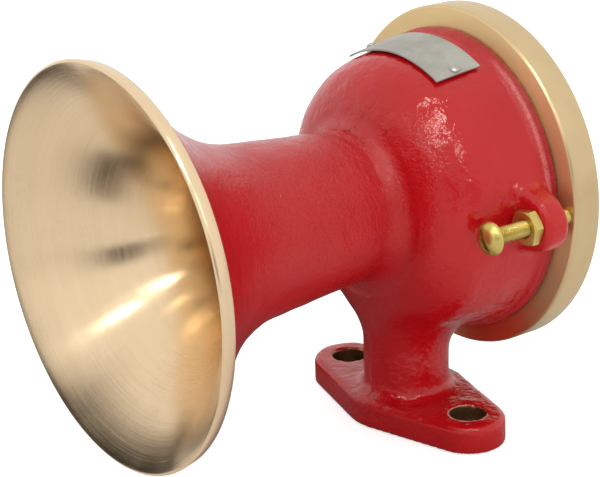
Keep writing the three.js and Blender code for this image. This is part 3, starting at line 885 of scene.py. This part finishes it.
def make_liner():
    """The bell's turned inside, with the bright band round its rim."""
    band = BELL_RADIUS - BELL_BAND_DROP
    inside = [(inner_radius(s), s) for s in np.arange(1.0, TUBE_END + 0.01, 1.0)]
    outside = [(inner_radius(s) + LINER_WALL, s) for s in np.arange(TUBE_END, BELL_BAND + 0.5, -2.0)]
    rim = [
        (inner_radius(BELL_BAND) + LINER_WALL, BELL_BAND),
        (band - 0.15, BELL_BAND),
        (band, BELL_BAND - 0.15),
        (BELL_RADIUS - 0.12, 0.75),
        (BELL_RADIUS - 0.25, 0.35),
        (BELL_RADIUS - 0.6, 0.08),
        (BELL_RADIUS - BELL_LIP + 0.25, 0.0),
        (BELL_RADIUS - BELL_LIP, 0.12),
    ]
    throat = [
        (THROAT_RADIUS, THROAT_STATION - 0.2),
        (THROAT_RADIUS + 0.2, THROAT_STATION),
        (THROAT_RADIUS + LINER_WALL, THROAT_STATION),
    ]
    return turned("bell_liner", inside + throat + outside + rim, 288, sharp=35.0)


def make_cap():
    groove = BOSS_RADIUS - 1.0
    thread_start, thread_end = BOSS_FRONT + 0.8, CAP_FRONT - 2.4
    thread = [(BOSS_RADIUS, s) for s in np.arange(thread_start, thread_end, CAP_PITCH / 8)]
    floor = BOSS_FRONT + CAP_HOLLOW_DEPTH
    front = [
        (0, floor),
        (CAP_HOLLOW - CAP_HOLLOW_CHAMFER, floor),
        (CAP_HOLLOW, floor - CAP_HOLLOW_CHAMFER),
        (CAP_HOLLOW, BOSS_FRONT),
        (BOSS_RADIUS - BOSS_CHAMFER, BOSS_FRONT),
    ]
    edge = [(CAP_EDGE + 0.12, 0.0), (CAP_EDGE - 0.1, 0.06), (0.06, CAP_EDGE - 0.1), (0.0, CAP_EDGE + 0.12)]
    floor_radius = CAP_RECESS_RADIUS - 1.0
    flange = [
        (groove, thread_end + 0.1),
        (groove, CAP_FRONT),
        *[(CAP_RADIUS - inward, CAP_FRONT + along) for inward, along in edge],
        *[(CAP_RADIUS - inward, CAP_BACK - along) for inward, along in reversed(edge)],
        (CAP_RECESS_RADIUS + 0.15, CAP_BACK),
        (CAP_RECESS_RADIUS, CAP_BACK - 0.12),
        (floor_radius + 0.4, CAP_BACK - CAP_RECESS_DEPTH + 0.15),
        (floor_radius, CAP_BACK - CAP_RECESS_DEPTH),
        (0, CAP_BACK - CAP_RECESS_DEPTH),
    ]
    threads = (len(front), len(front) + len(thread) - 1, CAP_PITCH, CAP_THREAD_DEPTH)
    cap = turned("cap", front + thread + flange, 240, threads=threads)
    spanner_hole = [
        (0, CAP_BACK - SPANNER_DEPTH - 0.9),
        (SPANNER_RADIUS, CAP_BACK - SPANNER_DEPTH),
        (SPANNER_RADIUS, CAP_BACK - 0.4),
        (SPANNER_RADIUS + 1.0, CAP_BACK + 0.6),
        (0, CAP_BACK + 0.6),
    ]
    for side in (-1, 1):
        combine_turned(cap, spanner_hole, 40, HORN_AXIS + Vector((side * SPANNER_OFFSET, 0, 0)) * MM)
    cap.data.set_sharp_from_angle(angle=math.radians(35))
    return cap


def make_screw():
    seat = SCREW_HEAD_SEAT
    crown = seat - SCREW_HEAD_HEIGHT
    dome = SCREW_HEAD_HEIGHT - SCREW_HEAD_RIM
    head = [(0, crown)]
    for turn in range(80, -1, -8):
        a = math.radians(turn)
        head.append((SCREW_HEAD_RADIUS * math.cos(a), seat - SCREW_HEAD_RIM - dome * math.sin(a)))
    head += [(SCREW_HEAD_RADIUS - 0.02, seat - 0.12), (SCREW_HEAD_RADIUS - 0.2, seat)]
    head += [(SCREW_RADIUS + 0.25, seat), (SCREW_RADIUS, seat + 0.2)]
    thread = [(SCREW_RADIUS, s) for s in np.arange(seat + 0.9, SCREW_END - 0.5, SCREW_PITCH / 8)]
    tip = [(SCREW_RADIUS - 0.45, SCREW_END), (0, SCREW_END)]
    threads = (len(head), len(head) + len(thread) - 1, SCREW_PITCH, SCREW_THREAD_DEPTH)
    screw = turned("slotted_screw", head + thread + tip, 40, SCREW_AXIS, threads)
    half, far = SLOT_WIDTH / 2, 2 * SCREW_HEAD_RADIUS
    slot = [(-half, -far), (half, -far), (half, far), (-half, far)]
    tool = prism("tool", slot, crown - OVERRUN, crown + SLOT_DEPTH, SCREW_AXIS)
    tool.data.transform(Matrix.Rotation(math.radians(-SLOT_ANGLE), 4, "Y"))
    combine(screw, tool, "DIFFERENCE")
    screw.data.set_sharp_from_angle(angle=math.radians(32))
    return screw


def make_nut():
    corner = NUT_FLATS / math.sqrt(3)
    front, back, _ = reach("lock_nut")
    angles = [math.radians(60 * i) for i in range(6)]
    hexagon = [(corner * math.cos(a), corner * math.sin(a)) for a in angles]
    nut = prism("jam_nut", hexagon, front, back, SCREW_AXIS)
    nut.data.transform(Matrix.Rotation(math.radians(NUT_TURN), 4, "Y"))
    face, outer = NUT_FLATS / 2 * NUT_FACE, corner + 0.6
    rise = (outer - face) * math.tan(math.radians(NUT_CHAMFER))
    cone = [(0, front), (face, front), (outer, front + rise), (outer, back - rise), (face, back), (0, back)]
    combine_turned(nut, cone, 96, SCREW_AXIS, "INTERSECT")
    bore = SCREW_RADIUS + NUT_GAP
    hole = [
        (0, front - OVERRUN),
        (bore + NUT_COUNTERSINK, front - OVERRUN),
        (bore, front + 0.5),
        (bore, back - 0.5),
        (bore + NUT_COUNTERSINK, back + OVERRUN),
        (0, back + OVERRUN),
    ]
    combine_turned(nut, hole, 48, SCREW_AXIS)
    nut.data.set_sharp_from_angle(angle=math.radians(12))
    return nut


def make_pad():
    front, back, side = reach("lock_screw_pad")
    radius = side - SCREW_X
    rounding = arc((radius - PAD_ROUND, back - PAD_ROUND), PAD_ROUND, 0, 90, 15)
    outline = [(0, front), (radius - 0.25, front), (radius, front + 0.25), *rounding, (0, back)]
    return turned("screw_pad", outline, 40, SCREW_AXIS)


def plate_point(turn, share, lift):
    """A point on the plate's shallow cone, turn degrees from the top, share from front to back edge."""
    radius = PLATE_FRONT_RADIUS + share * (PLATE_BACK_RADIUS - PLATE_FRONT_RADIUS) + lift
    a = math.radians(turn)
    return (radius * math.sin(a), PLATE_FRONT + share * (PLATE_BACK - PLATE_FRONT), radius * math.cos(a))


def make_plate():
    """A thin bent plate. Its front edge stands off the bowl."""
    across, along = 72, 18
    points, faces = [], []
    for lift in (0.0, PLATE_THICKNESS):
        for i in range(across + 1):
            for j in range(along + 1):
                turn = PLATE_HALF_ANGLE * (2 * i / across - 1)
                ripple = PLATE_RIPPLE * math.sin(0.23 * turn + 1.1) * math.sin(3.0 * j / along + 0.4)
                points.append(plate_point(turn, j / along, lift + ripple))
    row = along + 1
    layer = (across + 1) * row
    for i in range(across):
        for j in range(along):
            a = i * row + j
            faces.append((a, a + row, a + row + 1, a + 1)[::-1])
            faces.append((a + layer, a + row + layer, a + row + 1 + layer, a + 1 + layer))
    edge = [i * row for i in range(across + 1)]
    edge += [across * row + j for j in range(1, row)]
    edge += [i * row + along for i in range(across - 1, -1, -1)]
    edge += [j for j in range(along - 1, 0, -1)]
    for a, b in zip(edge, edge[1:] + edge[:1]):
        faces.append((a, b, b + layer, a + layer))
    plate = mesh_object("blank_nameplate", points, faces, HORN_AXIS, sharp=30.0)
    bevel(plate, 0.12)
    return plate


def make_pin(name, turn):
    station = (PLATE_FRONT + PLATE_BACK) / 2
    slope = math.atan((PLATE_BACK_RADIUS - PLATE_FRONT_RADIUS) / (PLATE_BACK - PLATE_FRONT))
    radius = (PLATE_FRONT_RADIUS + PLATE_BACK_RADIUS) / 2 + PLATE_THICKNESS + 0.05
    angles = [math.radians(t) for t in range(0, 85, 12)]
    outline = [
        (0, -PIN_DEPTH),
        (PIN_SHANK - 0.3, -PIN_DEPTH),
        (PIN_SHANK, -PIN_DEPTH + 0.4),
        (PIN_SHANK, 0.0),
        (PIN_HEAD - 0.05, 0.0),
        *[(PIN_HEAD * math.cos(a), 0.1 + PIN_DOME * math.sin(a)) for a in angles],
        (0, 0.1 + PIN_DOME),
    ]
    pin = turned(name, outline, 32, Vector((0, 0, 0)))
    place = (
        Matrix.Translation(HORN_AXIS + Vector((0, station, 0)) * MM)
        @ Matrix.Rotation(math.radians(turn), 4, "Y")
        @ Matrix.Translation(Vector((0, 0, radius)) * MM)
        @ Matrix.Rotation(slope, 4, "X")
        @ Matrix.Rotation(math.pi / 2, 4, "X")
    )
    pin.data.transform(place)
    return pin


def upright(obj):
    """Stands a piece that was turned about Y on the stem's axis."""
    obj.data.transform(Matrix.Rotation(math.pi / 2, 4, "X"))
    return obj


def make_strainer():
    low, high = box_mm("inlet_strainer")
    radius, bottom, top = high[0], low[2], high[2]
    outline = soften([(0, bottom), (radius, bottom), (radius, top), (0, top)], 0.15)
    disc = upright(turned("strainer_disc", outline, 72, STEM_AXIS))
    start, end = bottom - OVERRUN, top + OVERRUN
    hole = [(0, start), (MESH_HOLE, start), (MESH_HOLE, end), (0, end)]
    for ring, count in MESH_RINGS:
        for i in range(count):
            a = 2 * math.pi * i / count
            tool = upright(turned("tool", hole, 16, STEM_AXIS))
            tool.data.transform(Matrix.Translation(Vector((ring * math.cos(a), ring * math.sin(a), 0)) * MM))
            combine(disc, tool, "DIFFERENCE")
    disc.data.set_sharp_from_angle(angle=math.radians(35))
    return disc


def make_snap_ring():
    """An open ring with its gap towards the bell."""
    low, high = box_mm("strainer_ring")
    inner, outer, bottom, top = SNAP_RING_INNER, high[0], low[2], high[2]
    gap = math.degrees(math.asin(SNAP_RING_GAP / outer))
    section = soften([(inner, bottom), (outer, bottom), (outer, top), (inner, top)], 0.25, 2)
    steps = 72
    points, faces = [], []
    for i in range(steps + 1):
        a = math.radians(-90 + gap + (360 - 2 * gap) * i / steps)
        points.extend((r * math.cos(a), r * math.sin(a), z) for r, z in section)
    count = len(section)
    for i in range(steps):
        for j in range(count):
            a, b = i * count + j, i * count + (j + 1) % count
            faces.append((a, b, b + count, a + count)[::-1])
    faces.append(tuple(range(count)))
    faces.append(tuple(range(steps * count, (steps + 1) * count))[::-1])
    return mesh_object("snap_ring", points, faces, STEM_AXIS, sharp=40.0)


def make_nozzle():
    front, back, outer = reach("throat_nozzle")
    outline = soften([
        (NOZZLE_BORE, front),
        (outer, front),
        (outer, back - NOZZLE_CHAMFER),
        (outer - NOZZLE_CHAMFER, back),
        (NOZZLE_BORE + NOZZLE_CHAMFER / 2, back),
        (NOZZLE_BORE, back - NOZZLE_CHAMFER / 2),
    ], 0.2)
    return turned("throat_seat", outline, 120)


def make_ring(name, node, inner, rounding):
    front, back, outer = reach(node)
    outline = [(inner, front), (outer, front), (outer, back), (inner, back)]
    return turned(name, soften(outline, rounding), 144)


def make_diaphragm():
    """A thin spring disc with one shallow ring pressed into it."""
    front, back, outer = reach("diaphragm")
    pressed = [(24, 0), (22, 0.02), (21, 0.07), (20, 0.1), (19, 0.07), (18, 0.02), (16, 0)]
    edge = [(outer - 0.1, front), (outer, front + 0.1), (outer, back - 0.1), (outer - 0.1, back)]
    outline = [(0, front), *edge, *[(radius, back - sink) for radius, sink in pressed], (0, back)]
    return turned("diaphragm_disc", outline, 144)


def bronze(name, light, dark, *finish_values):
    return turned_bronze(name, (*light, 1), (*dark, 1), *finish_values)


RED = red_enamel()
BELL_BRONZE = bronze("bell_bronze", (0.87, 0.67, 0.44), (0.81, 0.61, 0.38), 0.23, 2600, 0.76, 0.15)
CAP_BRONZE = bronze("cap_bronze", (0.71, 0.54, 0.31), (0.65, 0.49, 0.27), 0.32, 3000, 0.6, 0.2, True)
INNER_BRONZE = bronze("inner_bronze", (0.60, 0.44, 0.24), (0.48, 0.33, 0.17), 0.36, 2000, 0.5, 0.4)
SPRING_BRONZE = bronze("spring_bronze", (0.62, 0.38, 0.17), (0.50, 0.29, 0.12), 0.28, 1500, 0.3, 0.5)
BRASS = plain_metal("yellow_brass", (0.68, 0.54, 0.17, 1), (0.55, 0.43, 0.12, 1), 0.33)
STEEL = plain_metal("satin_steel", (0.52, 0.51, 0.49, 1), (0.38, 0.37, 0.36, 1), 0.38)
PLATE = satin_plate()
FIBRE = matte_sheet("pressed_fibre", (0.12, 0.11, 0.09, 1), (0.05, 0.045, 0.04, 1), 0.85, 1800, 0.06)
RUBBER = matte_sheet("brown_rubber", (0.10, 0.050, 0.030, 1), (0.060, 0.030, 0.018, 1), 0.72, 2200, 0.03)

finish(make_casting(), RED, "horn", "red_enamel", "horn_body")
finish(make_liner(), BELL_BRONZE, "horn", "bronze", "horn_body")
finish(make_cap(), CAP_BRONZE, "cap", "bronze", "back_cap")
finish(make_screw(), BRASS, "screw", "brass", "lock_screw")
finish(make_nut(), BRASS, "nut", "brass", "lock_nut")
finish(make_pad(), BRASS, "pad", "brass", "lock_screw_pad")
finish(make_plate(), PLATE, "horn", "grey_plate", "nameplate")
finish(make_pin("drive_pin_left", -PIN_ANGLE), STEEL, "horn", "steel", "plate_pin_left")
finish(make_pin("drive_pin_right", PIN_ANGLE), STEEL, "horn", "steel", "plate_pin_right")
finish(make_strainer(), STEEL, "horn", "steel", "inlet_strainer")
finish(make_snap_ring(), STEEL, "horn", "steel", "strainer_ring")
finish(make_nozzle(), INNER_BRONZE, "horn", "brass", "throat_nozzle")
finish(make_ring("gasket_front", "front_gasket", CHAMBER_RADIUS, 0.1), FIBRE, "horn", "fibre", "front_gasket")
finish(make_ring("gasket_rear", "rear_gasket", CHAMBER_RADIUS, 0.1), FIBRE, "horn", "fibre", "rear_gasket")
slip_ring = make_ring("slip_ring", "clamp_ring", CHAMBER_RADIUS, 0.3)
finish(slip_ring, INNER_BRONZE, "horn", "bronze", "clamp_ring")
finish(make_diaphragm(), SPRING_BRONZE, "horn", "spring_bronze", "diaphragm")
finish(make_ring("mouth_seal", "cap_seal", SEAL_INNER, 0.7), RUBBER, "seal", "rubber", "cap_seal")


# ---- stage, lights and camera ----


def heading(azimuth, elevation):
    """The direction at an azimuth (0 straight out of the bell, 90 towards +X) and an elevation."""
    a, e = math.radians(azimuth), math.radians(elevation)
    return Vector((math.sin(a) * math.cos(e), -math.cos(a) * math.cos(e), math.sin(e)))


def rectangle(name, width, height, location, material):
    """A flat piece of the stage that faces up. Width and height are in millimetres."""
    a, b = width / 2, height / 2
    corners = [(-a, -b, 0), (a, -b, 0), (a, b, 0), (-a, b, 0)]
    plane = mesh_object(name, corners, [(0, 1, 2, 3)], location, sharp=None)
    plane.data.materials.append(material)
    return plane


def pale_floor():
    s = Shader("pale_floor")
    return s.surface(
        Base_Color=s.mix(s.noise(900, 2.0), (0.90, 0.90, 0.89, 1), (0.94, 0.94, 0.93, 1)),
        Roughness=0.9,
        Specular_IOR_Level=0.1,
        Emission_Color=(1, 1, 1, 1),
        Emission_Strength=0.6,
    )


def painted_shadow_table():
    """White paper with painted shadows: a grey painted shadow under the horn, a dark one to its left and a
    dark strip of painted shadow in front of the bell.
    """
    s = Shader("painted_shadow_table")
    x, y, _ = s.axes()
    # Painted shadows: grey under the horn, dark to its left, and a dark strip where the bell's shadow falls
    under = s.fade(s.length(x + 0.03, y + 0.02), 0.105, 0.060)
    left = s.fade(s.length(x + 0.115, y - 0.02), 0.100, 0.060)
    bell_shadow_x, bell_shadow_y = x + 0.005, y + 0.145
    along = bell_shadow_x * 0.75 - bell_shadow_y * 0.66
    across = bell_shadow_x * 0.66 + bell_shadow_y * 0.75
    strip = s.fade(s.length(along * 0.4, across), 0.024, 0.014)
    grey = s.mix(under, (0.93, 0.93, 0.93, 1), (0.38, 0.38, 0.38, 1))
    grey = s.mix(left.most(strip), grey, (0.07, 0.07, 0.07, 1))
    return s.surface(Base_Color=grey, Roughness=1.0, Specular_IOR_Level=0.0)


def studio_world(colour, patches):
    """An even tent with dark patches: (azimuth, elevation, core, reach, level), with angles in degrees."""
    world = bpy.data.worlds.new("studio")
    world.use_nodes = True
    bpy.context.scene.world = world
    w = Nodes(world.node_tree)
    direction = w.node("TexCoord", output="Generated")
    level = None
    for azimuth, elevation, core, edge, dark in patches:
        towards = heading(azimuth, elevation)
        cosine = w.node("VectorMath", {0: direction, 1: towards}, "Value", operation="DOT_PRODUCT")
        ends = [math.cos(math.radians(angle)) for angle in (edge, core)]
        patch = w.fade(cosine, *ends, 1.0, dark)
        level = level * patch if level else patch
    background = world.node_tree.nodes["Background"]
    w.feed(background.inputs["Color"], colour)
    w.feed(background.inputs["Strength"], level)


def area_light(name, location, target, width, height, power):
    light = bpy.data.lights.new(name, "AREA")
    light.shape = "RECTANGLE"
    light.size = width
    light.size_y = height
    light.energy = power
    obj = bpy.data.objects.new(name, light)
    obj.location = location
    obj.rotation_euler = (target - location).to_track_quat("-Z", "Y").to_euler()
    bpy.context.scene.collection.objects.link(obj)
    return obj


def dark_card(name, centre, target, width, height, roll):
    """A dark flag that only shows as a reflection."""
    s = Shader(name + "_black")
    black = s.surface(Base_Color=(0.01, 0.01, 0.01, 1), Roughness=1.0, Specular_IOR_Level=0.0)
    card = rectangle(name, width, height, centre, black)
    aim = (target - centre).to_track_quat("Z", "Y").to_matrix()
    card.rotation_euler = (aim @ Matrix.Rotation(math.radians(roll), 3, "Z")).to_euler()
    for kind in ("camera", "diffuse", "transmission", "shadow", "volume_scatter"):
        setattr(card, "visible_" + kind, False)


def make_camera():
    data = bpy.data.cameras.new("camera")
    data.sensor_fit = "HORIZONTAL"
    data.sensor_width = CAMERA_SENSOR
    data.lens = CAMERA_LENS
    data.clip_start = 0.01
    data.clip_end = 50
    camera = bpy.data.objects.new("camera", data)
    back = heading(CAMERA_AZIMUTH, CAMERA_ELEVATION)
    level = back.to_track_quat("Z", "Y").to_matrix().to_4x4()
    place = Matrix.Translation(CAMERA_TARGET + back * CAMERA_DISTANCE)
    camera.matrix_world = place @ level @ Matrix.Rotation(math.radians(CAMERA_ROLL), 4, "Z")
    bpy.context.scene.collection.objects.link(camera)
    bpy.context.scene.camera = camera


# Lights and camera are in metres and degrees
STAGE_MM = 12000.0
MOUTH = Vector((0, RIM_Y, AXIS_Z)) * MM
MIDDLE = MOUTH / 2
SHOULDER = Vector((0.030, 0.0, 0.100))
STRIP_DISTANCE = 0.35
STRIP_WIDTH = 0.018
STRIPS = (
    ("left_strip", 30, 50, 0.16, 0.24),
    ("top_strip", 62, 66, 0.15, 0.22),
    ("right_strip", 80, 38, 0.11, 0.09),
)
CAMERA_AZIMUTH = 54.073
CAMERA_ELEVATION = 19.770
CAMERA_ROLL = -1.789
CAMERA_DISTANCE = 0.53450
CAMERA_LENS = 111.6258
CAMERA_SENSOR = 36.0
CAMERA_TARGET = Vector((0, -0.03889, 0.06497))

floor = rectangle("floor", STAGE_MM, STAGE_MM, Vector((0, 0, -0.0002)), pale_floor())
floor.visible_diffuse = False
floor.visible_glossy = False
# The table shows only in reflections and bounced light; its grey and dark patches are painted shadows
table = rectangle("table", STAGE_MM, STAGE_MM, Vector((0, 0, -0.0003)), painted_shadow_table())
table.visible_camera = False

studio_world((1.0, 0.995, 0.985, 1), [(43, 4, 8, 14, 0.0), (80, 4, 12, 28, 0.55)])
area_light("key_light", MOUTH + 0.7 * heading(9, 37), MIDDLE, 0.035, 0.06, 0.20)
for name, azimuth, elevation, height, power in STRIPS:
    place = SHOULDER + STRIP_DISTANCE * heading(azimuth, elevation)
    strip = area_light(name, place, SHOULDER, STRIP_WIDTH, height, power)
    strip.visible_diffuse = False
    strip.visible_camera = False
fill = area_light("fill_light", MIDDLE + heading(70, 4), MIDDLE, 0.5, 0.4, 1.6)
fill.visible_glossy = False
dark_card("rim_card", Vector((-0.100, -0.173, 0.034)), Vector((0.010, -0.104, 0.018)), 140, 60, -34)
bpy.context.scene.view_settings.view_transform = "Standard"
make_camera()
